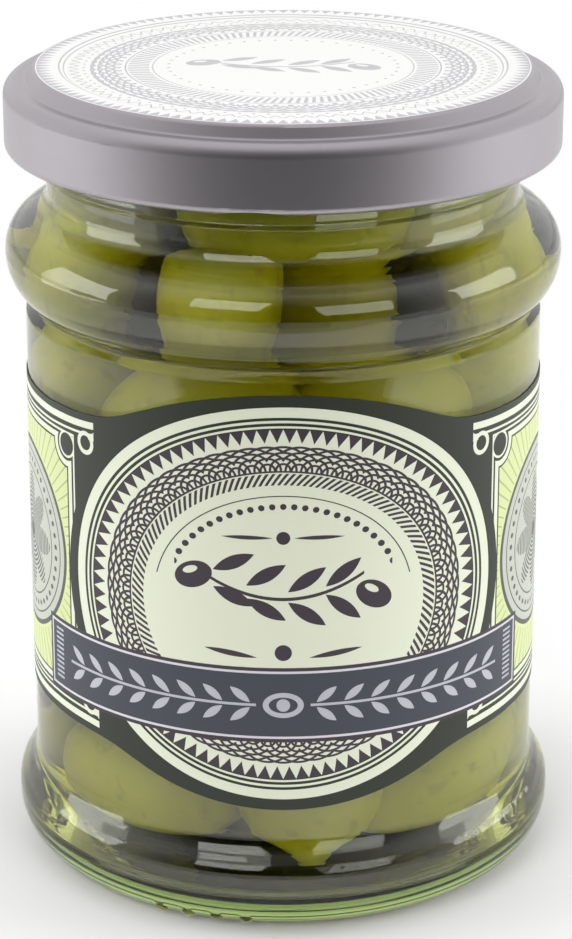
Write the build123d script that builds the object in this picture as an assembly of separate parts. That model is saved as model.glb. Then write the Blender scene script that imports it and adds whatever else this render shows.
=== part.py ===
from build123d import *

import math
import os

# A glass jar filled with brine, with its twist-off metal lid and a paper label round its body.
# Units are millimetres. The origin is the middle of the foot, on the surface that the jar stands on.
# +Z is up, and the middle of the label faces -Y.

# Glass: body
body_radius = 31.2
body_height = 57.9
foot_rise = 2.3
collar_rise = 2.3
wall = 2.2
floor_height = 4.2

# Glass: foot
push_up = 1.4
push_up_run = 1.6
foot_ring = 2.1
heel_radius = 6.0
heel_inner_radius = 2.6
foot_band = 1.0
foot_top_radius = 4.4
foot_slope = 38.0
foot_fillet = 3.0

# Glass: groove and collar
groove_depth = 1.2
groove_drop = 1.1
groove_lip_radius = 0.5
groove_radius = 0.5
collar_slope = 49.5
collar_lower_radius = 7.0
collar_upper_radius = 5.5
collar_fillet = 1.6
shoulder_slope = 58.0
shoulder_fillet = 1.8

# Glass: neck, finish and threads
neck_radius = 28.4
neck_height = 3.4
neck_wall = 2.2
finish_rise = 0.9
finish_step = 0.8
finish_height = 11.4
finish_fillet = 0.3
rim_fillet = 0.7
thread_count = 4
thread_rise = 1.0
thread_width = 1.4
thread_root_width = 2.2
thread_bite = 0.4
thread_sweep = 56.0
thread_slope = 4.0

# Glass: raised dots on the heel
dot_count = 4
dot_radius = 0.85
dot_proud = 0.35
dot_first_angle = -27.6
dot_step_angle = 6.5
dot_heel_angle = -47.0

# Lid
sheet = 0.3
curl_clearance = 0.65
curl_width = 2.3
curl_outer_radius = 0.9
curl_inner_radius = 0.6
curl_return = 1.9
skirt_height = 8.0
lid_shoulder_radius = 1.5
ledge_fillet = 0.5
panel_overhang = 0.3
panel_slope_run = 1.0
panel_drop = 1.6
panel_edge_radius = 0.7
dish_rim = 0.4
dish_run = 1.0
dish_depth = 0.35
lug_count = 4
lug_angle = -6.0
lug_sweep = 18.0
lug_clearance = 0.4
lug_height = 1.35
lug_thread_gap = 0.3
lug_arch_rise = 0.5
lug_arch_radius = 22.0

# Brine
head_space = 3.4
fill_gap = 0.05

# Label
label_thickness = 0.12
label_gap = 0.02
label_top_margin = 1.75
label_bottom_margin = 4.9
medallion_rise = 5.8
medallion_half_width = 33.0
label_blend = 2.4
label_seam = 6.0
label_edge_steps = 12

# Largest share of a side that the fillets at its ends may take
fillet_share = 0.98


def tangent(radius, turn):
    """Length that a fillet takes from each side of a corner that turns by this many degrees."""
    return radius * math.tan(math.radians(turn) / 2)


def rise(run, slope):
    """Height gained while the radius changes by this run, at a slope in degrees from the vertical."""
    return run / math.tan(math.radians(slope))


# Outside of the glass, from the foot upwards
foot_radius = body_radius + foot_rise
collar_radius = body_radius + collar_rise
groove_floor_radius = body_radius - groove_depth
foot_flat_radius = foot_radius - heel_radius
foot_top = heel_radius + foot_band + tangent(foot_top_radius, foot_slope)
body_bottom = foot_top + rise(foot_rise, foot_slope)
body_top = body_bottom + body_height
groove_middle = body_top + groove_drop
collar_bottom = groove_middle + rise(collar_radius - groove_floor_radius, collar_slope)
collar_middle = collar_bottom + tangent(collar_lower_radius, collar_slope)
collar_top = collar_middle + tangent(collar_upper_radius, shoulder_slope)
neck_bottom = collar_top + rise(collar_radius - neck_radius, shoulder_slope)
bore_radius = neck_radius - neck_wall
finish_radius = neck_radius + finish_rise
finish_bottom = neck_bottom + neck_height
rim_height = finish_bottom + finish_step + finish_height

# Inside of the glass, one wall away from the outside
inner_foot_top = foot_top - tangent(wall, foot_slope)
inner_body_bottom = inner_foot_top + rise(foot_rise, foot_slope)
inner_collar_bottom = collar_bottom + tangent(wall, collar_slope)
inner_body_top = inner_collar_bottom - rise(collar_rise, collar_slope)
inner_collar_top = collar_top - tangent(wall, shoulder_slope)
inner_neck_bottom = inner_collar_top + rise(collar_radius - wall - bore_radius, shoulder_slope)
brine_level = rim_height - head_space

# Lid, seated on the rim of the glass
curl_bore_radius = finish_radius + thread_rise + curl_clearance
lid_radius = curl_bore_radius + curl_width
panel_radius = finish_radius + panel_overhang
dish_top_radius = bore_radius + dish_rim
lid_top = rim_height + sheet
ledge_height = lid_top - panel_drop
lid_bottom = ledge_height - skirt_height
lug_radius = finish_radius + lug_clearance
lug_top = lid_bottom + lug_height
thread_fall = lug_radius * math.sin(math.radians(lug_sweep / 2)) * math.sin(math.radians(thread_slope))
thread_middle = lug_top + lug_thread_gap + thread_fall + thread_root_width / 2

# Label, wrapped round the straight body
label_radius = body_radius + label_gap
label_outer_radius = label_radius + label_thickness
medallion_half_height = (body_height - label_top_margin - label_bottom_margin) / 2
band_half_height = medallion_half_height - medallion_rise
label_middle = body_bottom + label_bottom_margin + medallion_half_height


def turned(corners):
    """Solid of revolution about Z. Each corner of its section is a radius, a height and a fillet radius.

    Where a side is too short for the fillets at its two ends, both are made smaller to fit.
    """
    points = [Vector(radius, height) for radius, height, _ in corners]
    sides = [end - start for start, end in zip(points, points[1:] + points[:1])]
    turns = [before.get_angle(after) for before, after in zip(sides[-1:] + sides[:-1], sides)]
    needs = [tangent(corner[2], turn) for corner, turn in zip(corners, turns)]
    section = make_face(Polyline(*points, close=True))
    for index, point in enumerate(points):
        if needs[index]:
            before = sides[index - 1].length / (needs[index - 1] + needs[index])
            after = sides[index].length / (needs[index] + needs[(index + 1) % len(points)])
            fit = min(1, fillet_share * before, fillet_share * after)
            section = fillet(section.vertices().sort_by_distance(point)[0], corners[index][2] * fit)
    return revolve(Plane.XZ * section, Axis.Z)


def cavity(gap, top):
    """Inside of the glass up to a height, kept clear of its wall by a gap."""
    corners = [
        (0, floor_height + gap, 0),
        (foot_radius - wall - gap, floor_height + gap, heel_inner_radius),
        (foot_radius - wall - gap, inner_foot_top, foot_top_radius - wall),
        (body_radius - wall - gap, inner_body_bottom, foot_fillet + wall),
        (body_radius - wall - gap, inner_body_top, collar_fillet),
        (collar_radius - wall - gap, inner_collar_bottom, collar_lower_radius - wall),
        (collar_radius - wall - gap, inner_collar_top, collar_upper_radius - wall),
        (bore_radius - gap, inner_neck_bottom, shoulder_fillet + wall),
        (bore_radius - gap, top, 0),
        (0, top, 0),
    ]
    return turned(corners)


def glass_outside():
    """Outer shape of the glass, with the mouth bored down to the foot of the finish."""
    corners = [
        (0, push_up, 0),
        (foot_flat_radius - foot_ring - push_up_run, push_up, push_up),
        (foot_flat_radius - foot_ring, 0, push_up / 2),
        (foot_radius, 0, heel_radius),
        (foot_radius, foot_top, foot_top_radius),
        (body_radius, body_bottom, foot_fillet),
        (body_radius, body_top, groove_lip_radius),
        (groove_floor_radius, groove_middle, groove_radius),
        (collar_radius, collar_bottom, collar_lower_radius),
        (collar_radius, collar_top, collar_upper_radius),
        (neck_radius, neck_bottom, shoulder_fillet),
        (neck_radius, finish_bottom, finish_fillet),
        (finish_radius, finish_bottom + finish_step, finish_fillet),
        (finish_radius, rim_height, rim_fillet),
        (bore_radius, rim_height, rim_fillet),
        (bore_radius, finish_bottom, 0),
        (0, finish_bottom, 0),
    ]
    return turned(corners)


def thread():
    """One start of the thread, a short ridge that slopes down round the finish, with its middle at +X."""
    ridge = Polyline(
        (finish_radius - thread_bite, -thread_root_width / 2),
        (finish_radius + thread_rise, -thread_width / 2),
        (finish_radius + thread_rise, thread_width / 2),
        (finish_radius - thread_bite, thread_root_width / 2),
        close=True,
    )
    ring = revolve(Plane.XZ * make_face(ridge), Axis.Z, thread_sweep)
    return Pos(Z=thread_middle) * Rot(X=thread_slope) * Rot(Z=-thread_sweep / 2) * ring


def dot():
    """One raised dot on the rounded heel, facing +X before it is turned into place."""
    ball_radius = (dot_radius**2 + dot_proud**2) / (2 * dot_proud)
    reach = heel_radius + dot_proud - ball_radius
    angle = math.radians(dot_heel_angle)
    place = (foot_flat_radius + reach * math.cos(angle), 0, heel_radius + reach * math.sin(angle))
    return Pos(place) * Sphere(ball_radius)


def facing(angle):
    """Turn about Z that brings +X round to the front, then by an angle in degrees to the right."""
    return Rot(Z=angle - 90)


def make_jar():
    """Hollow glass with its threads and the raised dots on its heel."""
    glass = glass_outside() - cavity(0, finish_bottom)
    for index in range(thread_count):
        glass += facing(lug_angle + index * 360 / thread_count) * thread()
    for index in range(dot_count):
        glass += facing(dot_first_angle + index * dot_step_angle) * dot()
    return glass


def make_lid():
    """Pressed sheet lid: sunk middle, raised printed panel, ledge, skirt, inward curl and four lugs."""
    inner_panel_radius = panel_radius - sheet
    shell = turned([
        (0, lid_top - dish_depth, 0),
        (dish_top_radius - dish_run, lid_top - dish_depth, sheet),
        (dish_top_radius, lid_top, sheet),
        (panel_radius, lid_top, panel_edge_radius),
        (panel_radius + panel_slope_run, ledge_height, ledge_fillet),
        (lid_radius, ledge_height, lid_shoulder_radius),
        (lid_radius, lid_bottom, curl_outer_radius),
        (curl_bore_radius, lid_bottom, curl_inner_radius),
        (curl_bore_radius, lid_bottom + curl_return, 0),
        (curl_bore_radius + sheet, lid_bottom + curl_return, 0),
        (curl_bore_radius + sheet, lid_bottom + sheet, curl_inner_radius - sheet),
        (lid_radius - sheet, lid_bottom + sheet, curl_outer_radius - sheet),
        (lid_radius - sheet, ledge_height - sheet, lid_shoulder_radius - sheet),
        (inner_panel_radius + panel_slope_run, ledge_height - sheet, ledge_fillet),
        (inner_panel_radius, lid_top - sheet, panel_edge_radius - sheet),
        (dish_top_radius, lid_top - sheet, sheet),
        (dish_top_radius - dish_run, lid_top - dish_depth - sheet, sheet),
        (0, lid_top - dish_depth - sheet, 0),
    ])
    lug_section = Polyline(
        (lug_radius, lid_bottom + curl_inner_radius),
        (curl_bore_radius, lid_bottom),
        (lid_radius - curl_outer_radius, lid_bottom),
        (lid_radius - sheet, lid_bottom + curl_outer_radius),
        (lid_radius - sheet, lug_top),
        (lug_radius, lug_top),
        close=True,
    )
    lug = Rot(Z=-lug_sweep / 2) * revolve(Plane.XZ * make_face(lug_section), Axis.Z, lug_sweep)
    arch_middle = lid_bottom + lug_arch_rise - lug_arch_radius
    arch = Pos(X=lid_radius, Z=arch_middle) * Rot(Y=90) * Cylinder(lug_arch_radius, 4 * curl_width)
    lid = shell
    for index in range(lug_count):
        turn = facing(lug_angle + index * 360 / lug_count)
        lid = lid + turn * lug - turn * arch
    return lid


def make_brine():
    """Brine that fills the jar up to a level in the neck."""
    return cavity(fill_gap, brine_level)


def label_edge(arc):
    """Half height of the label at an arc length from its middle, where an oval blends into the band."""
    oval = medallion_half_height * math.sqrt(max(0, 1 - (arc / medallion_half_width) ** 2))
    spread = math.hypot(oval - band_half_height, label_blend)
    return (oval + band_half_height + spread) / 2


def make_label():
    """Paper sleeve round the body, a band that swells to an oval at the front and ends in a seam behind."""
    band = Cylinder(label_outer_radius, 2 * band_half_height) - Cylinder(label_radius, 2 * band_half_height)
    tall = Cylinder(label_outer_radius, body_height) - Cylinder(label_radius, body_height)
    arcs = [medallion_half_width * step / label_edge_steps for step in range(-label_edge_steps, label_edge_steps + 1)]
    edge = [(label_outer_radius * math.sin(arc / label_outer_radius), label_edge(arc)) for arc in arcs]
    upper = Spline(*edge)
    lower = Spline(*[(across, -height) for across, height in edge])
    sides = [Line(upper @ end, lower @ end) for end in (0, 1)]
    oval = make_face([upper, lower, *sides])
    medallion = tall & extrude(Plane.XZ * oval, label_outer_radius)
    seam = Pos(Y=label_outer_radius) * Box(label_seam, label_outer_radius, body_height)
    return Pos(Z=label_middle) * (band + medallion - seam)


os.makedirs("parts", exist_ok=True)
nodes = {"jar": make_jar, "lid": make_lid, "brine": make_brine, "label": make_label}
for name, make in nodes.items():
    export_step(make(), f"parts/{name}.step")
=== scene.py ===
"""Looks for a glass jar of green olives: glass, brine, olives, printed lid and paper label."""

import math
import random

import bpy
from mathutils import Matrix, Vector


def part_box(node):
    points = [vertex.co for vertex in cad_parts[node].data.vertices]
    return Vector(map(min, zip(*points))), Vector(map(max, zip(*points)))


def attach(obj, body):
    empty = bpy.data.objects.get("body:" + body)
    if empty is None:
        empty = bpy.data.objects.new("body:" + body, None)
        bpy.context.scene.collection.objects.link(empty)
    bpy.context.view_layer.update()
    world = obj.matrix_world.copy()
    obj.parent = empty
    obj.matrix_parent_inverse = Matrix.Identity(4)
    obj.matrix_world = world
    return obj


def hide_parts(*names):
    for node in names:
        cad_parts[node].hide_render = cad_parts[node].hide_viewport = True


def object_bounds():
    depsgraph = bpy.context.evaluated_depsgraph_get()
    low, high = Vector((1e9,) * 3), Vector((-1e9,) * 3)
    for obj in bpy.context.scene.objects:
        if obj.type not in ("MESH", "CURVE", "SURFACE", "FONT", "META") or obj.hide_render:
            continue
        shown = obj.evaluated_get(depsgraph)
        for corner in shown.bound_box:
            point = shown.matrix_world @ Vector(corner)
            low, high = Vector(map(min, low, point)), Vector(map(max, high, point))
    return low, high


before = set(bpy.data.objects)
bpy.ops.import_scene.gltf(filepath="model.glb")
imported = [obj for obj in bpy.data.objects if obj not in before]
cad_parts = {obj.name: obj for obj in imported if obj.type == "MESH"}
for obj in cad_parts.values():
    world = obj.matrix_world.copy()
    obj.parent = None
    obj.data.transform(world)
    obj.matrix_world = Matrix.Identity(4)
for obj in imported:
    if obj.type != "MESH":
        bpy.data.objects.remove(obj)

bl_info = {
    "name": "Jar of Olives",
    "version": (1, 0, 0),
    "blender": (4, 5, 0),
    "location": "3D View > Sidebar > Olives",
    "description": "Finishes a jar of olives: glass, brine, olives, lid print and label",
    "category": "Object",
}

MM = 0.001
BODY = "root"

cad_low, cad_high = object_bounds()
lid_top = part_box("lid")[1].z
brine_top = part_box("brine")[1].z
label_low, label_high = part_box("label")


# Properties

class JarSizes(bpy.types.PropertyGroup):
    olive_length: bpy.props.FloatProperty(
        name="Olive length", description="Length of a middling olive", default=23.5 * MM, unit="LENGTH")
    olive_width: bpy.props.FloatProperty(
        name="Olive width", description="Thickness of a middling olive", default=17.0 * MM, unit="LENGTH")
    olive_hole: bpy.props.FloatProperty(
        name="Pitting hole", description="Radius of the hole at the pitted end",
        default=2.0 * MM, unit="LENGTH")
    brine_reach: bpy.props.FloatProperty(
        name="Brine reach", description="How far the brine runs into the glass, so no air shows between them",
        default=0.15 * MM, unit="LENGTH")
    brine_density: bpy.props.FloatProperty(
        name="Brine density", description="How strongly the brine soaks up light, per metre", default=140.0)
    glass_density: bpy.props.FloatProperty(
        name="Glass density", description="How strongly the glass soaks up light, per metre", default=45.0)


class JarColours(bpy.types.PropertyGroup):
    olive: bpy.props.FloatVectorProperty(
        name="Olive", description="Skin of a middling olive",
        subtype="COLOR", default=(0.60, 0.56, 0.040))
    olive_deep: bpy.props.FloatVectorProperty(
        name="Deep olive", description="Skin of the darker olives",
        subtype="COLOR", default=(0.34, 0.31, 0.03))
    olive_pale: bpy.props.FloatVectorProperty(
        name="Pale olive", description="Skin of the paler olives",
        subtype="COLOR", default=(0.74, 0.73, 0.09))
    brine: bpy.props.FloatVectorProperty(
        name="Brine", description="Colour of the brine in depth",
        subtype="COLOR", default=(0.90, 0.885, 0.05))
    glass: bpy.props.FloatVectorProperty(
        name="Glass", description="Tint of thick glass",
        subtype="COLOR", default=(0.62, 0.74, 0.30))
    silver: bpy.props.FloatVectorProperty(
        name="Silver", description="Lacquered metal of the lid",
        subtype="COLOR", default=(0.40, 0.375, 0.40))
    lid_white: bpy.props.FloatVectorProperty(
        name="Lid white", description="Ground of the lid's print",
        subtype="COLOR", default=(0.86, 0.86, 0.85))
    lid_ink: bpy.props.FloatVectorProperty(
        name="Lid ink", description="Ornament of the lid's print",
        subtype="COLOR", default=(0.42, 0.40, 0.44))
    green: bpy.props.FloatVectorProperty(
        name="Dark green", description="Ground of the label",
        subtype="COLOR", default=(0.016, 0.022, 0.012))
    cream: bpy.props.FloatVectorProperty(
        name="Cream", description="Pale fields and lines of the label",
        subtype="COLOR", default=(0.70, 0.73, 0.58))
    plum: bpy.props.FloatVectorProperty(
        name="Plum", description="Ink of the label's ornament",
        subtype="COLOR", default=(0.038, 0.028, 0.038))
    navy: bpy.props.FloatVectorProperty(
        name="Navy", description="Field of the label's banner",
        subtype="COLOR", default=(0.040, 0.046, 0.062))
    lime: bpy.props.FloatVectorProperty(
        name="Lime", description="Side panels of the label",
        subtype="COLOR", default=(0.60, 0.67, 0.32))
    grey: bpy.props.FloatVectorProperty(
        name="Grey", description="Side roundels of the label",
        subtype="COLOR", default=(0.48, 0.50, 0.43))


# Shader maths

class Value:
    """A number that varies over a surface. Sums written on it add Math nodes to its material."""

    def __init__(self, paint, socket):
        self.paint = paint
        self.socket = socket

    def math(self, operation, *others):
        return self.paint.node("ShaderNodeMath", {"operation": operation}, (self, *others))

    def __add__(self, other):
        return self.math("ADD", other)

    def __sub__(self, other):
        return self.math("SUBTRACT", other)

    def __mul__(self, other):
        return self.math("MULTIPLY", other)

    def __truediv__(self, other):
        return self.math("DIVIDE", other)

    def __rsub__(self, other):
        return self * -1 + other

    def __gt__(self, other):
        return self.math("GREATER_THAN", other)

    def __lt__(self, other):
        return self.math("LESS_THAN", other)

    def __or__(self, other):
        return self.math("MAXIMUM", other)

    def __and__(self, other):
        return self.math("MINIMUM", other)

    def __abs__(self):
        return self.math("ABSOLUTE")

    def __neg__(self):
        return self * -1

    __radd__ = __add__
    __rmul__ = __mul__

    def root(self):
        return self.math("SQRT")

    def cosine(self):
        return self.math("COSINE")

    def fraction(self):
        return self.math("FRACT")

    def zigzag(self):
        """Distance to the nearest whole number, from 0 to a half."""
        return self.math("PINGPONG", 0.5)

    def between(self, low, high):
        return (self > low) & (self < high)

    def angle_with(self, other):
        return self.math("ARCTAN2", other)


def hypot(a, b):
    return (a * a + b * b).root()


class Paint:
    """The nodes of a material or of the world."""

    def __init__(self, owner, output="ShaderNodeOutputMaterial"):
        owner.use_nodes = True
        self.owner = owner
        self.tree = owner.node_tree
        self.tree.nodes.clear()
        self.output = self.tree.nodes.new(output)

    def node(self, kind, settings=None, inputs=(), output=0):
        """Adds a node. Settings come first, then socket values or links, by place or by name."""
        node = self.tree.nodes.new(kind)
        for name, value in (settings or {}).items():
            setattr(node, name, value)
        pairs = inputs.items() if isinstance(inputs, dict) else enumerate(inputs)
        for key, value in pairs:
            if isinstance(value, Value):
                self.tree.links.new(value.socket, node.inputs[key])
            else:
                node.inputs[key].default_value = value
        return Value(self, node.outputs[output])

    def end_in(self, shader, socket="Surface"):
        """Leads a shader to the output."""
        self.tree.links.new(shader.socket, self.output.inputs[socket])

    def spot(self):
        """The point itself, in the piece's own coordinates."""
        return self.node("ShaderNodeTexCoord", output="Object")

    def place(self):
        """X, Y and Z of a point in millimetres."""
        spot = self.spot()
        return tuple(self.node("ShaderNodeSeparateXYZ", {}, (spot,), axis) / MM for axis in range(3))

    def noise(self, scale, detail=2.0, roughness=0.5):
        """Cloudy noise whose features repeat about scale times a metre."""
        inputs = {"Vector": self.spot(), "Scale": scale, "Detail": detail, "Roughness": roughness}
        return self.node("ShaderNodeTexNoise", {}, inputs)

    def fade(self, value, start, end, low=0.0, high=1.0):
        """Smooth passage from low to high as a value goes from start to end."""
        settings = {"interpolation_type": "SMOOTHSTEP"}
        return self.node("ShaderNodeMapRange", settings, (value, start, end, low, high))

    def mix(self, factor, low, high):
        """Colour between two others."""
        low, high = (each if isinstance(each, Value) else (*each, 1) for each in (low, high))
        return self.node("ShaderNodeMix", {"data_type": "RGBA"}, {0: factor, 6: low, 7: high}, 2)

    def bump(self, height, distance, strength):
        return self.node("ShaderNodeBump", {}, {"Strength": strength, "Distance": distance, "Height": height})

    def surface(self, **inputs):
        """Principled shader on the output. Spaces in socket names are written as underscores."""
        named = {key.replace("_", " "): value for key, value in inputs.items()}
        self.end_in(self.node("ShaderNodeBsdfPrincipled", {}, named))

    def soak(self, colour, density):
        """Absorption in depth, the same all through."""
        self.end_in(self.node("ShaderNodeVolumeAbsorption", {}, ((*colour, 1), density)), "Volume")


def material_paint(name):
    return Paint(bpy.data.materials.new(name))


# Making and finishing pieces

def settings():
    return bpy.context.scene.jar_sizes, bpy.context.scene.jar_colours


def deselect():
    if bpy.context.object and bpy.context.object.mode != "OBJECT":
        bpy.ops.object.mode_set(mode="OBJECT")
    for thing in bpy.context.selected_objects:
        thing.select_set(False)


def pick(piece):
    """Makes a piece the only selected one, and the active one."""
    deselect()
    piece.select_set(True)
    bpy.context.view_layer.objects.active = piece
    return piece


def pick_parts(piece, kind, test):
    """Selects, in edit mode, the vertices (VERT) or faces (FACE) whose place passes a test."""
    bpy.ops.object.mode_set(mode="OBJECT")
    mesh = piece.data
    for group in (mesh.vertices, mesh.edges, mesh.polygons):
        group.foreach_set("select", [False] * len(group))
    if kind == "VERT":
        for vertex in mesh.vertices:
            vertex.select = test(vertex.co)
    else:
        for face in mesh.polygons:
            face.select = test(face.center)
    bpy.ops.object.mode_set(mode="EDIT")
    bpy.ops.mesh.select_mode(type=kind)


def settle(piece):
    """Puts a piece's place, turn and scale into its mesh."""
    pick(piece)
    bpy.ops.object.transform_apply(location=True, rotation=True, scale=True)


def dress(piece, paint):
    piece.data.materials.clear()
    piece.data.materials.append(paint.owner)


def copied(piece, name):
    """A copy of a piece with a mesh of its own."""
    twin = piece.copy()
    twin.data = piece.data.copy()
    twin.name = name
    bpy.context.scene.collection.objects.link(twin)
    return twin


# Glass

GLASS_IOR = 1.5


def glass_paint(sizes, colours):
    """Clear moulded glass, a little green where it is thick, with faint ripples."""
    paint = material_paint("glass")
    ripples = paint.bump(paint.noise(90, 1.0), 0.05 * MM, 0.25)
    paint.surface(
        Base_Color=(1, 1, 1, 1), Roughness=0.0, IOR=GLASS_IOR, Transmission_Weight=1.0, Normal=ripples)
    paint.soak(colours.glass, sizes.glass_density)
    return paint


class JAR_OT_glass(bpy.types.Operator):
    """Give the jar its glass"""
    bl_idname = "jar.glass"
    bl_label = "Glass"

    def execute(self, context):
        dress(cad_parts["jar"], glass_paint(*settings()))
        return {"FINISHED"}


# Brine

BRINE_IOR = 1.34
BRINE_SEGMENTS = 160
HAIR = 0.01 * MM


def brine_paint(sizes, colours):
    """Clear yellow-green liquid that darkens in depth."""
    paint = material_paint("brine")
    paint.surface(Base_Color=(1, 1, 1, 1), Roughness=0.0, IOR=BRINE_IOR, Transmission_Weight=1.0)
    paint.soak(colours.brine, sizes.brine_density)
    return paint


def make_brine(sizes, colours):
    """Half the outline of the liquid, spun to a smooth round body and let just into the glass."""
    brine = copied(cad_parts["brine"], "brine_liquid")
    brine.parent = None
    for key in list(brine.keys()):
        del brine[key]
    pick(brine)
    bpy.ops.object.mode_set(mode="EDIT")
    bpy.ops.mesh.select_all(action="SELECT")
    bpy.ops.mesh.remove_doubles(threshold=HAIR / 10)
    bpy.ops.mesh.select_all(action="SELECT")
    bpy.ops.mesh.bisect(
        plane_co=(0, HAIR, 0), plane_no=(0, 1, 0), clear_inner=True, clear_outer=True, threshold=HAIR / 10)
    pick_parts(brine, "VERT", lambda place: place.x < -HAIR)
    bpy.ops.mesh.delete(type="VERT")
    bpy.ops.mesh.select_all(action="SELECT")
    bpy.ops.mesh.remove_doubles(threshold=5 * HAIR)
    bpy.ops.object.mode_set(mode="OBJECT")
    for vertex in brine.data.vertices:
        vertex.co.y = 0
        if vertex.co.x < 10 * HAIR:
            vertex.co.x = 0
    pick(brine)
    bpy.ops.object.mode_set(mode="EDIT")
    bpy.ops.mesh.select_all(action="SELECT")
    bpy.ops.mesh.spin(steps=BRINE_SEGMENTS, angle=math.tau, center=(0, 0, 0), axis=(0, 0, 1))
    bpy.ops.mesh.select_all(action="SELECT")
    bpy.ops.mesh.remove_doubles(threshold=HAIR / 2)
    bpy.ops.mesh.normals_make_consistent(inside=False)
    bpy.ops.transform.shrink_fatten(value=sizes.brine_reach)
    pick_parts(brine, "VERT", lambda place: place.z > brine_top - HAIR)
    bpy.ops.transform.resize(value=(1, 1, 0), center_override=(0, 0, brine_top))
    bpy.ops.object.mode_set(mode="OBJECT")
    bpy.ops.object.shade_smooth_by_angle(angle=math.radians(40))
    dress(brine, brine_paint(sizes, colours))
    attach(brine, BODY)
    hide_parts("brine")
    return brine


class JAR_OT_brine(bpy.types.Operator):
    """Fill the jar with brine"""
    bl_idname = "jar.brine"
    bl_label = "Brine"

    def execute(self, context):
        make_brine(*settings())
        return {"FINISHED"}


# Olives

def olive_paint(colours):
    """Waxy skin, mottled, paler on some olives than on others."""
    paint = material_paint("olive")
    broad = paint.noise(38, 2.0, 0.4)
    fine = paint.noise(420, 3.0, 0.6)
    specks = paint.noise(1500, 2.0, 0.5)
    skin = paint.mix(paint.fade(broad, 0.36, 0.64), tuple(colours.olive), tuple(colours.olive_pale))
    skin = paint.mix(paint.fade(fine, 0.52, 0.75, high=0.35), skin, tuple(colours.olive_deep))
    paint.surface(
        Base_Color=skin, Roughness=0.34 + fine * 0.12,
        Normal=paint.bump(specks * 0.4 + fine, 0.15 * MM, 0.35))
    return paint


# For each kind of olive, how much its lower end narrows, and whether its top is pitted
OLIVE_KINDS = {"plain": (0.92, False), "narrow": (0.62, False), "pitted": (0.9, True)}


def make_olive(sizes, name, blunt, pitted):
    """An olive standing on end at the origin."""
    half = sizes.olive_length / 2
    bpy.ops.mesh.primitive_uv_sphere_add(segments=32, ring_count=20, radius=sizes.olive_width / 2)
    olive = bpy.context.object
    olive.name = name
    bpy.ops.object.mode_set(mode="EDIT")
    bpy.ops.mesh.select_all(action="SELECT")
    bpy.ops.transform.resize(value=(1, 1, sizes.olive_length / sizes.olive_width))
    pick_parts(olive, "VERT", lambda place: place.z < -0.72 * half)
    bpy.ops.transform.resize(
        value=(blunt, blunt, 1), center_override=(0, 0, -half), use_proportional_edit=True,
        proportional_edit_falloff="SMOOTH", proportional_size=0.6 * half)
    bpy.ops.mesh.select_all(action="SELECT")
    bpy.ops.transform.vertex_random(offset=0.22 * MM, uniform=0.0, normal=0.5, seed=len(name) * 7)
    bpy.ops.mesh.select_all(action="SELECT")
    bpy.ops.mesh.vertices_smooth(factor=0.5, repeat=3)
    if pitted:
        hole = sizes.olive_hole
        pick_parts(olive, "FACE", lambda place: place.z > 0 and place.xy.length < 1.5 * hole)
        bpy.ops.mesh.inset(thickness=0.35 * hole)
        bpy.ops.mesh.extrude_region_move(TRANSFORM_OT_translate={"value": (0, 0, -0.35 * hole)})
        bpy.ops.mesh.extrude_region_move(TRANSFORM_OT_translate={"value": (0, 0, -2.2 * hole)})
        bpy.ops.transform.resize(value=(0.7, 0.7, 1))
    bpy.ops.object.mode_set(mode="OBJECT")
    bpy.ops.object.shade_smooth()
    return olive


# Each olive has a distance from the middle and a height in millimetres, then in degrees a bearing (0 is
# the front, positive to the right), a lean off upright, a turn of that lean and a roll, and then a size.
SEEN_OLIVES = (
    (20.3, 15.2, 8, 16, 180, 40, 0.98, "narrow"),
    (18.6, 14.0, -46, 78, 95, 10, 1.06, "plain"),
    (19.2, 14.8, 55, 62, 70, 200, 1.04, "pitted"),
    (19.8, 60.5, -26, 74, 92, 80, 1.04, "plain"),
    (19.6, 60.0, 27, 78, 84, 30, 1.02, "plain"),
    (15.6, 86.0, 5, 88, 90, 60, 1.06, "plain"),
    (20.4, 75.8, -19, 84, 18, 120, 0.80, "narrow"),
    (9.0, 76.5, 35, 30, 60, 90, 0.95, "plain"),
    (20.0, 78.0, -72, 60, 80, 0, 0.95, "plain"),
    (20.0, 77.5, 80, 65, 95, 0, 0.95, "narrow"),
)


def hidden_olives():
    """Rings of olives that fill the rest of the jar, each ring turned from the one below."""
    chance = random.Random(11)
    rings = (
        (15.0, 19.4, (105, 155, 205, 255)),
        (38.0, 19.6, (0, 51, 103, 154, 206, 257, 309)),
        (60.5, 19.6, (78, 129, 180, 231, 282)),
        (77.0, 19.0, (120, 165, 210, 250)),
        (87.0, 15.6, (72, 130, 180, 235, 290)),
    )
    for height, reach, bearings in rings:
        for bearing in bearings:
            yield (
                reach, height + chance.uniform(-1.5, 1.5), bearing + chance.uniform(-4, 4),
                chance.uniform(15, 80), chance.uniform(60, 120), chance.uniform(0, 360),
                chance.uniform(0.93, 1.05), chance.choice(("plain", "narrow", "pitted")))
    for height in (17, 34, 50, 66, 82):
        yield (
            2.0, height, chance.uniform(0, 360), chance.uniform(20, 70), chance.uniform(0, 360),
            0, 0.95, "plain")


def turned_by(degrees, axis):
    return Matrix.Rotation(math.radians(degrees), 4, axis)


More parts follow.
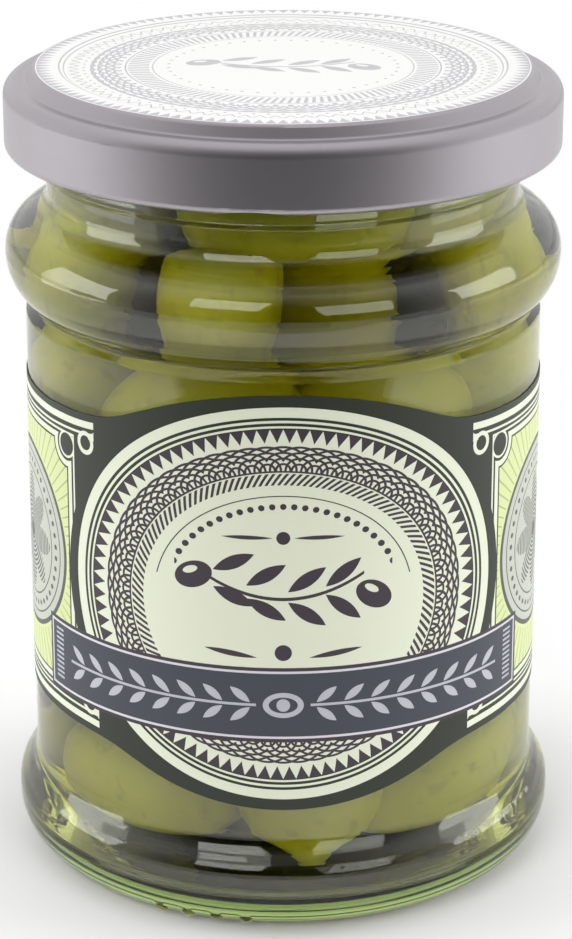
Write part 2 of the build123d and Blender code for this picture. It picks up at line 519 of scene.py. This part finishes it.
def make_olives(sizes, colours):
    """All the olives, joined into one piece."""
    kinds = {name: make_olive(sizes, name, *form) for name, form in OLIVE_KINDS.items()}
    made = []
    for reach, height, bearing, lean, turn, roll, size, kind in (*SEEN_OLIVES, *hidden_olives()):
        olive = copied(kinds[kind], f"olive_{len(made)}")
        outward = turned_by(bearing, "Z") @ Matrix.Translation((0, -reach * MM, height * MM))
        leaning = turned_by(turn - 90, "Z") @ turned_by(lean, "Y") @ turned_by(roll, "Z")
        olive.matrix_world = outward @ leaning @ Matrix.Scale(size, 4)
        settle(olive)
        made.append(olive)
    for kind in kinds.values():
        bpy.data.objects.remove(kind)
    deselect()
    for olive in made:
        olive.select_set(True)
    bpy.context.view_layer.objects.active = made[0]
    bpy.ops.object.join()
    olives = bpy.context.object
    olives.name = "olives"
    dress(olives, olive_paint(colours))
    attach(olives, BODY)
    return olives


class JAR_OT_olives(bpy.types.Operator):
    """Sink the olives in the brine"""
    bl_idname = "jar.olives"
    bl_label = "Olives"

    def execute(self, context):
        make_olives(*settings())
        return {"FINISHED"}


# Drawing helpers, in millimetres

def turned_about(across, up, middle, degrees):
    """Coordinates about a middle point, turned by an angle."""
    c, s = math.cos(math.radians(degrees)), math.sin(math.radians(degrees))
    x, y = across - middle[0], up - middle[1]
    return x * c + y * s, y * c - x * s


def oval(across, up, middle, radii, degrees=0):
    """Inside of an oval."""
    x, y = turned_about(across, up, middle, degrees)
    return hypot(x / radii[0], y / radii[1]) < 1


def leaf(across, up, middle, length, width, degrees):
    """Pointed leaf, the overlap of two arcs."""
    x, y = turned_about(across, up, middle, degrees)
    reach = x * (2 / length)
    return abs(y) < (1 - reach * reach) * (width / 2)


def sprig(across, up, scale):
    """Olive sprig: a stem, pairs of leaves and two fruits."""
    x, y = across / scale, up / scale
    shape = (abs(y - 0.03 * x * x + 0.6) < 0.22) & (abs(x) < 10)
    for place, lean in ((-8.5, 24), (-4.5, 30), (0.5, 34), (5.0, 38)):
        shape = shape | leaf(x, y, (place + 2.4, 1.9 + 0.03 * place * place), 5.6, 1.7, lean)
        shape = shape | leaf(x, y, (place + 2.4, -2.6 + 0.03 * place * place), 5.6, 1.7, -lean)
    fruit = oval(x, y, (-11.2, 2.0), (2.5, 1.7), 20) | oval(x, y, (11.3, -0.6), (2.5, 1.7), -30)
    glint = oval(x, y, (-11.6, 2.6), (1.0, 0.45), 20) | oval(x, y, (11.0, 0.2), (1.0, 0.45), -30)
    return (shape | fruit) & (1 - glint)


def teeth(turns, reach, count, low, high):
    """Ring of triangles with their points at the low radius."""
    wave = (turns * count).zigzag() * 2
    return reach.between(low, high) & (wave < (reach - low) / (high - low))


def fans(turns, reach, count, low, high, pitch, thick):
    """Ring of overlapping fans, each of concentric arcs."""
    lines = None
    for shift in (0.0, 0.5):
        side = ((turns * count + shift).fraction() - 0.5) * (math.tau * low / count)
        away = hypot(side, reach - low)
        arcs = ((away / pitch).fraction() < thick) & (away < high - low) & (away > pitch * 0.9)
        lines = arcs if lines is None else lines | arcs
    return lines & reach.between(low, high)


def hatch(turns, reach, count, low, high, slant, share):
    """Ring of short slanted strokes."""
    return reach.between(low, high) & ((turns * count + reach * slant).fraction() < share)


def dots(turns, reach, count, radius, size):
    """Ring of round dots."""
    side = ((turns * count).fraction() - 0.5) * (math.tau * radius / count)
    return hypot(side, reach - radius) < size


# Lid

LID_DISC = 29.35  # radius of the printed disc
LID_STEP = 1.1    # the disc lies less than this below the lid's highest ring


def lid_paint(sizes, colours):
    """Silver lacquer on the metal, and a white disc with pale ornament on its top."""
    paint = material_paint("lid")
    x, y, z = paint.place()
    reach = hypot(x, y)
    turns = y.angle_with(x) / math.tau
    printed = (reach < LID_DISC) & (z > lid_top / MM - LID_STEP)
    ink = teeth(turns, reach, 132, 27.5, 29.2)
    ink = ink | reach.between(26.45, 26.65) | reach.between(25.95, 26.1)
    ink = ink | (reach.between(24.2, 25.4) & (abs((turns * 90).zigzag() * 2.4 + 24.2 - reach) < 0.16))
    ink = ink | dots(turns, reach, 90, 23.6, 0.2)
    ink = ink | fans(turns, reach, 36, 19.2, 23.0, 0.85, 0.36)
    ink = ink | reach.between(18.6, 18.8) | hatch(turns, reach, 120, 15.9, 18.4, 0.25, 0.45)
    ink = ink | reach.between(15.4, 15.55) | sprig(x, y, 0.85)
    ink = ink | dots(turns, reach, 44, 13.6, 0.22)
    flow = paint.noise(900, 2.0)
    print_colour = paint.mix(ink * 0.85, tuple(colours.lid_white), tuple(colours.lid_ink))
    colour = paint.mix(printed, tuple(colours.silver), print_colour)
    paint.surface(
        Base_Color=colour, Metallic=(1 - printed) * 0.88, Roughness=0.36 + printed * 0.02 + flow * 0.05,
        Coat_Weight=0.15, Coat_Roughness=0.2, Normal=paint.bump(flow, 0.02 * MM, 0.4))
    return paint


class JAR_OT_lid(bpy.types.Operator):
    """Lacquer and print the lid"""
    bl_idname = "jar.lid"
    bl_label = "Lid"

    def execute(self, context):
        dress(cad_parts["lid"], lid_paint(*settings()))
        return {"FINISHED"}


# Label, drawn in millimetres round the jar (across, or side when both ways) and up (or level) from its middle

MEDALLION = (24.9, 0.877)      # half width of the cream oval, and its height as a share of its width
LABEL_EDGE = (33.0, 25.6)      # half width and half height of the oval that the label's edge follows
LABEL_HALF = 19.85             # half height of the label beside that oval
PANEL_CORNER = (29.8, 15.4)    # where the side panels' corners are cut in a ring
PANEL_END = 55.0
ROUNDEL = (42.3, 0.5)
ROUNDEL_SIZE = 11.9
BACK_PANEL = (5.2, 36.0)       # from the seam
BANNER = (35.0, 4.75)          # half length and half height
BANNER_DROP = 12.35
ENGRAVING = (0.07, 0.075, 0.07)
RULES = (0.12, 0.13, 0.11)
BANNER_LINE = (0.62, 0.60, 0.64)
BANNER_LEAVES = (0.45, 0.46, 0.50)


def any_of(marks):
    """Where at least one of several marks is."""
    together = marks[0]
    for mark in marks[1:]:
        together = together | mark
    return together


def medallion(across, up):
    """Ringed oval with a sprig: the distance from its middle, its pale rings and field, and its ink."""
    width, share = MEDALLION
    side = abs(across)
    reach = hypot(across, up / share)
    turns = up.angle_with(across) / math.tau
    inside = reach < width
    rings = reach.between(26.5, 27.9), reach.between(25.75, 26.1), reach.between(25.05, 25.35)
    pale = any_of((*rings, inside))
    ink = any_of((
        teeth(turns, reach, 90, 23.0, width),
        fans(turns, reach, 30, 19.2, 22.9, 0.78, 0.40),
        reach.between(18.95, 19.2),
        hatch(turns, reach, 132, 17.2, 18.8, 0.9, 0.5),
        sprig(across, up - 1.6, 0.95),
        dots(turns, reach, 62, 14.2, 0.42) & (up > 1) & (side < 13),
        reach.between(15.6, 15.75) & (up > 3),
        leaf(side, up, (4.2, 8.6), 6.0, 0.5, 0),
        oval(side, up, (0.0, 8.6), (0.8, 0.8)),
        leaf(side, up, (6.2, -5.9), 6.4, 0.7, 8),
        oval(side, up, (0.0, -5.7), (1.0, 1.0)),
    ))
    return reach, pale, ink & inside


def side_panels(side, level, reach):
    """Panels beside the medallion, and the pale lines, rings and leaves of their frames."""
    edge_width, edge_height = LABEL_EDGE
    curve = ((1 - (side / edge_width) * (side / edge_width)) | 0).root() * edge_height
    step = curve - LABEL_HALF
    edge = (curve + LABEL_HALF + (step * step + 5.8).root()) / 2 - level
    corner = hypot(side - PANEL_CORNER[0], level - PANEL_CORNER[1])
    panel = any_of((PANEL_CORNER[0] - side, level - PANEL_CORNER[1], 3.0 - corner, side - PANEL_END))
    ring = hypot(side - 26.0, level - 16.6)
    outside = reach > 29.6
    lines = any_of((
        (edge.between(0.9, 1.75) | edge.between(2.3, 2.6)) & outside,
        (panel.between(0.25, 0.95) | panel.between(1.3, 1.6)) & outside,
        ring.between(0.9, 1.45) & outside,
        leaf(side, level, (22.6, 18.4), 6.2, 1.9, -24) & (reach > 28.6),
    ))
    return panel < 0, lines & (side > 24.5)


def roundel(side, up):
    """Roundel of a side panel: its disc, its engraving and rims, and the rays round it."""
    x, y = side - ROUNDEL[0], up - ROUNDEL[1]
    reach = hypot(x, y)
    turns = y.angle_with(x) / math.tau
    rays = ((turns * 72).fraction() < 0.16) & (reach > 12.3)
    petal = abs((turns * math.tau * 4).cosine())
    engraved = any_of((
        (reach < petal * 3.2 + 4.2) & ((reach / 0.55).fraction() < 0.5),
        dots(turns, reach, 40, 9.2, 0.34),
        reach.between(7.9, 8.1),
        reach < 1.0,
        reach.between(11.3, ROUNDEL_SIZE),
        reach.between(10.2, 10.4),
    ))
    return reach < ROUNDEL_SIZE, engraved, rays


def back_panel(seam_side, up, level):
    """Plain panel on each side of the seam, and the rules on it."""
    near, far = BACK_PANEL
    panel = any_of((seam_side - far, level - PANEL_CORNER[1], near - seam_side)) < 0
    rules = ((up / 2.6).fraction() < 0.22) & seam_side.between(9, 31) & (level < 12.5)
    return panel, rules


def banner(side, up):
    """Banner over the medallion's foot: its whole, the field inside its edge, a line, and its ornament."""
    half_length, half_height = BANNER
    level = abs(up)
    whole = (side < half_length) & (level < half_height)
    depth = (half_length - side) & (half_height - level)
    ticks = side.between(31.6, 33.4) & (level < 3.4) & ((up / 0.62).fraction() < 0.45)
    step = ((side / 3.3).fraction() - 0.5) * 3.3
    garland = any_of((
        leaf(step, up, (0.15, 1.25), 3.0, 1.0, 38),
        leaf(step, up, (0.15, -1.25), 3.0, 1.0, -38),
        level < 0.16,
    )) & side.between(3.2, 29.8)
    eye = oval(side, up, (0.0, 0.0), (2.4, 1.6)) & (1 - oval(side, up, (0.0, 0.0), (1.7, 1.0)))
    pupil = oval(side, up, (0.0, 0.0), (0.8, 0.8))
    ornament = any_of((ticks, garland, eye, pupil))
    return whole, whole & (depth > 0.45), whole & depth.between(0.45, 0.75), whole & ornament


def label_paint(sizes, colours):
    """Print of the label, in layers of colour."""
    paint = material_paint("label")
    x, y, z = paint.place()
    radius = label_high.x / MM
    across = x.angle_with(-y) * radius
    up = z - (label_low.z + label_high.z) / 2 / MM
    side = abs(across)
    level = abs(up)

    reach, pale, ink = medallion(across, up)
    panel, lines = side_panels(side, level, reach)
    disc, engraved, rays = roundel(side, up)
    behind = side > 56.5
    back, rules = back_panel(math.pi * radius - side, up, level)
    whole_banner, field, line, ornament = banner(side, up + BANNER_DROP)
    layers = (
        (pale | lines, colours.cream),
        (ink, colours.plum),
        (panel, colours.lime),
        ((panel & rays) * 0.4, colours.green),
        (disc, colours.grey),
        (engraved, ENGRAVING),
        (behind & back, colours.cream),
        (behind & rules, RULES),
        (whole_banner, colours.plum),
        (field, colours.navy),
        (line, BANNER_LINE),
        (ornament, BANNER_LEAVES),
    )
    print_colour = tuple(colours.green)
    for where, tint in layers:
        print_colour = paint.mix(where, print_colour, tuple(tint))
    fibre = paint.noise(2600, 3.0, 0.7)
    paint.surface(
        Base_Color=print_colour, Roughness=0.42 + fibre * 0.12, Coat_Weight=0.08, Coat_Roughness=0.3,
        Normal=paint.bump(fibre, 0.012 * MM, 0.5))
    return paint


class JAR_OT_label(bpy.types.Operator):
    """Print the label"""
    bl_idname = "jar.label"
    bl_label = "Label"

    def execute(self, context):
        dress(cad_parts["label"], label_paint(*settings()))
        return {"FINISHED"}


# Stage

FLOOR_SIZE = 6.0
FLOOR_FRONT = 0.16                     # the floor ends this far in front of the jar
FLOOR_SHADE_TO_GLOW = (32, 100)                 # in millimetres from the jar's axis, where the painted shade round the jar gives way to pure white glow
ROOM_FADE = (-0.95, 0.05, 0.01, 1.0)   # from front to back: where the dark room fades out, and its light there
LAMPS = (
    ("key", (-0.35, -0.75, 0.60), 0.5, 2.9),
    ("fill", (0.45, -0.75, 0.35), 0.5, 2.2),
    ("left_side", (-0.70, 0.05, 0.16), 0.45, 3.0),
    ("right_side", (0.70, 0.05, 0.16), 0.45, 3.0),
)
CAMERA_PLACE = (0, -384.7 * MM, 188.8 * MM)
CAMERA_DIP = 20.17                     # degrees below level
CAMERA_LENS = 126.9
CAMERA_SHIFT = 0.0029


def floor_paint():
    """White floor that keeps the jar's shadow, with a painted darker shade round the jar where its glow is
    faded out.
    """
    paint = material_paint("floor")
    matte = paint.node("ShaderNodeBsdfDiffuse", {}, ((0.9, 0.9, 0.9, 1),))
    glow = paint.node("ShaderNodeEmission", {}, ((1, 1, 1, 1), 1.0))
    seen = paint.node("ShaderNodeLightPath", output="Is Camera Ray")
    seen = seen | paint.node("ShaderNodeLightPath", output="Is Transmission Ray")
    x, y, z = paint.place()
    # painted shade: the white glow fades out towards the jar's axis, so the floor near the jar is darker on
    # top of its real shadow
    glow_past_painted_shade = seen * paint.fade(hypot(x, y), *FLOOR_SHADE_TO_GLOW)
    paint.end_in(paint.node("ShaderNodeMixShader", {}, (glow_past_painted_shade, matte, glow)))
    return paint


def make_floor():
    middle = FLOOR_SIZE / 2 - FLOOR_FRONT
    bpy.ops.mesh.primitive_plane_add(size=FLOOR_SIZE, location=(0, middle, -0.02 * MM))
    floor = bpy.context.object
    floor.name = "floor"
    settle(floor)
    dress(floor, floor_paint())


def make_world():
    """White all round, but for a darker room in front of the jar, which only mirrored light meets."""
    world = bpy.data.worlds.new("studio")
    bpy.context.scene.world = world
    paint = Paint(world, "ShaderNodeOutputWorld")
    direction = paint.node("ShaderNodeTexCoord", output="Generated")
    backward = paint.node("ShaderNodeSeparateXYZ", {}, (direction,), 1)
    seen = paint.node("ShaderNodeLightPath", output="Is Camera Ray")
    strength = seen | paint.fade(backward, *ROOM_FADE)
    paint.end_in(paint.node("ShaderNodeBackground", {}, {"Color": (1, 1, 1, 1), "Strength": strength}))


def add_lamp(name, place, size, power):
    """Soft square lamp aimed at the middle of the jar, which glossy surfaces don't mirror."""
    bpy.ops.object.light_add(type="AREA", location=place)
    lamp = bpy.context.object
    lamp.name = name
    lamp.data.size = size
    lamp.data.energy = power
    lamp.visible_glossy = False
    aim = Vector((0, 0, cad_high.z / 2)) - Vector(place)
    lamp.rotation_euler = aim.to_track_quat("-Z", "Y").to_euler()


def make_camera():
    """Looks a little down on the front of the jar."""
    bpy.ops.object.camera_add(location=CAMERA_PLACE, rotation=(math.radians(90 - CAMERA_DIP), 0, 0))
    camera = bpy.context.object
    camera.name = "camera"
    camera.data.lens = CAMERA_LENS
    camera.data.sensor_width = 36
    camera.data.shift_x = CAMERA_SHIFT
    camera.data.clip_start = 10 * MM
    bpy.context.scene.camera = camera


class JAR_OT_stage(bpy.types.Operator):
    """Set the floor, the light and the camera"""
    bl_idname = "jar.stage"
    bl_label = "Stage"

    def execute(self, context):
        make_floor()
        make_world()
        for lamp in LAMPS:
            add_lamp(*lamp)
        make_camera()
        context.scene.view_settings.view_transform = "Standard"
        return {"FINISHED"}


# Panel

STEPS = (JAR_OT_glass, JAR_OT_brine, JAR_OT_olives, JAR_OT_lid, JAR_OT_label, JAR_OT_stage)


class JAR_PT_panel(bpy.types.Panel):
    """Lists the steps, sizes and colours of the jar"""
    bl_label = "Jar of Olives"
    bl_idname = "JAR_PT_panel"
    bl_space_type = "VIEW_3D"
    bl_region_type = "UI"
    bl_category = "Olives"

    def draw(self, context):
        for group in (context.scene.jar_sizes, context.scene.jar_colours):
            for name in group.bl_rna.properties.keys():
                if name not in ("rna_type", "name"):
                    self.layout.prop(group, name)
        for step in STEPS:
            self.layout.operator(step.bl_idname)


CLASSES = (JarSizes, JarColours, *STEPS, JAR_PT_panel)


def register():
    for each in CLASSES:
        bpy.utils.register_class(each)
    bpy.types.Scene.jar_sizes = bpy.props.PointerProperty(type=JarSizes)
    bpy.types.Scene.jar_colours = bpy.props.PointerProperty(type=JarColours)


def unregister():
    del bpy.types.Scene.jar_colours
    del bpy.types.Scene.jar_sizes
    for each in reversed(CLASSES):
        bpy.utils.unregister_class(each)


def main():
    """Makes every piece in order."""
    register()
    deselect()
    bpy.ops.jar.glass()
    bpy.ops.jar.brine()
    bpy.ops.jar.olives()
    bpy.ops.jar.lid()
    bpy.ops.jar.label()
    bpy.ops.jar.stage()


if __name__ == "__main__":
    main()
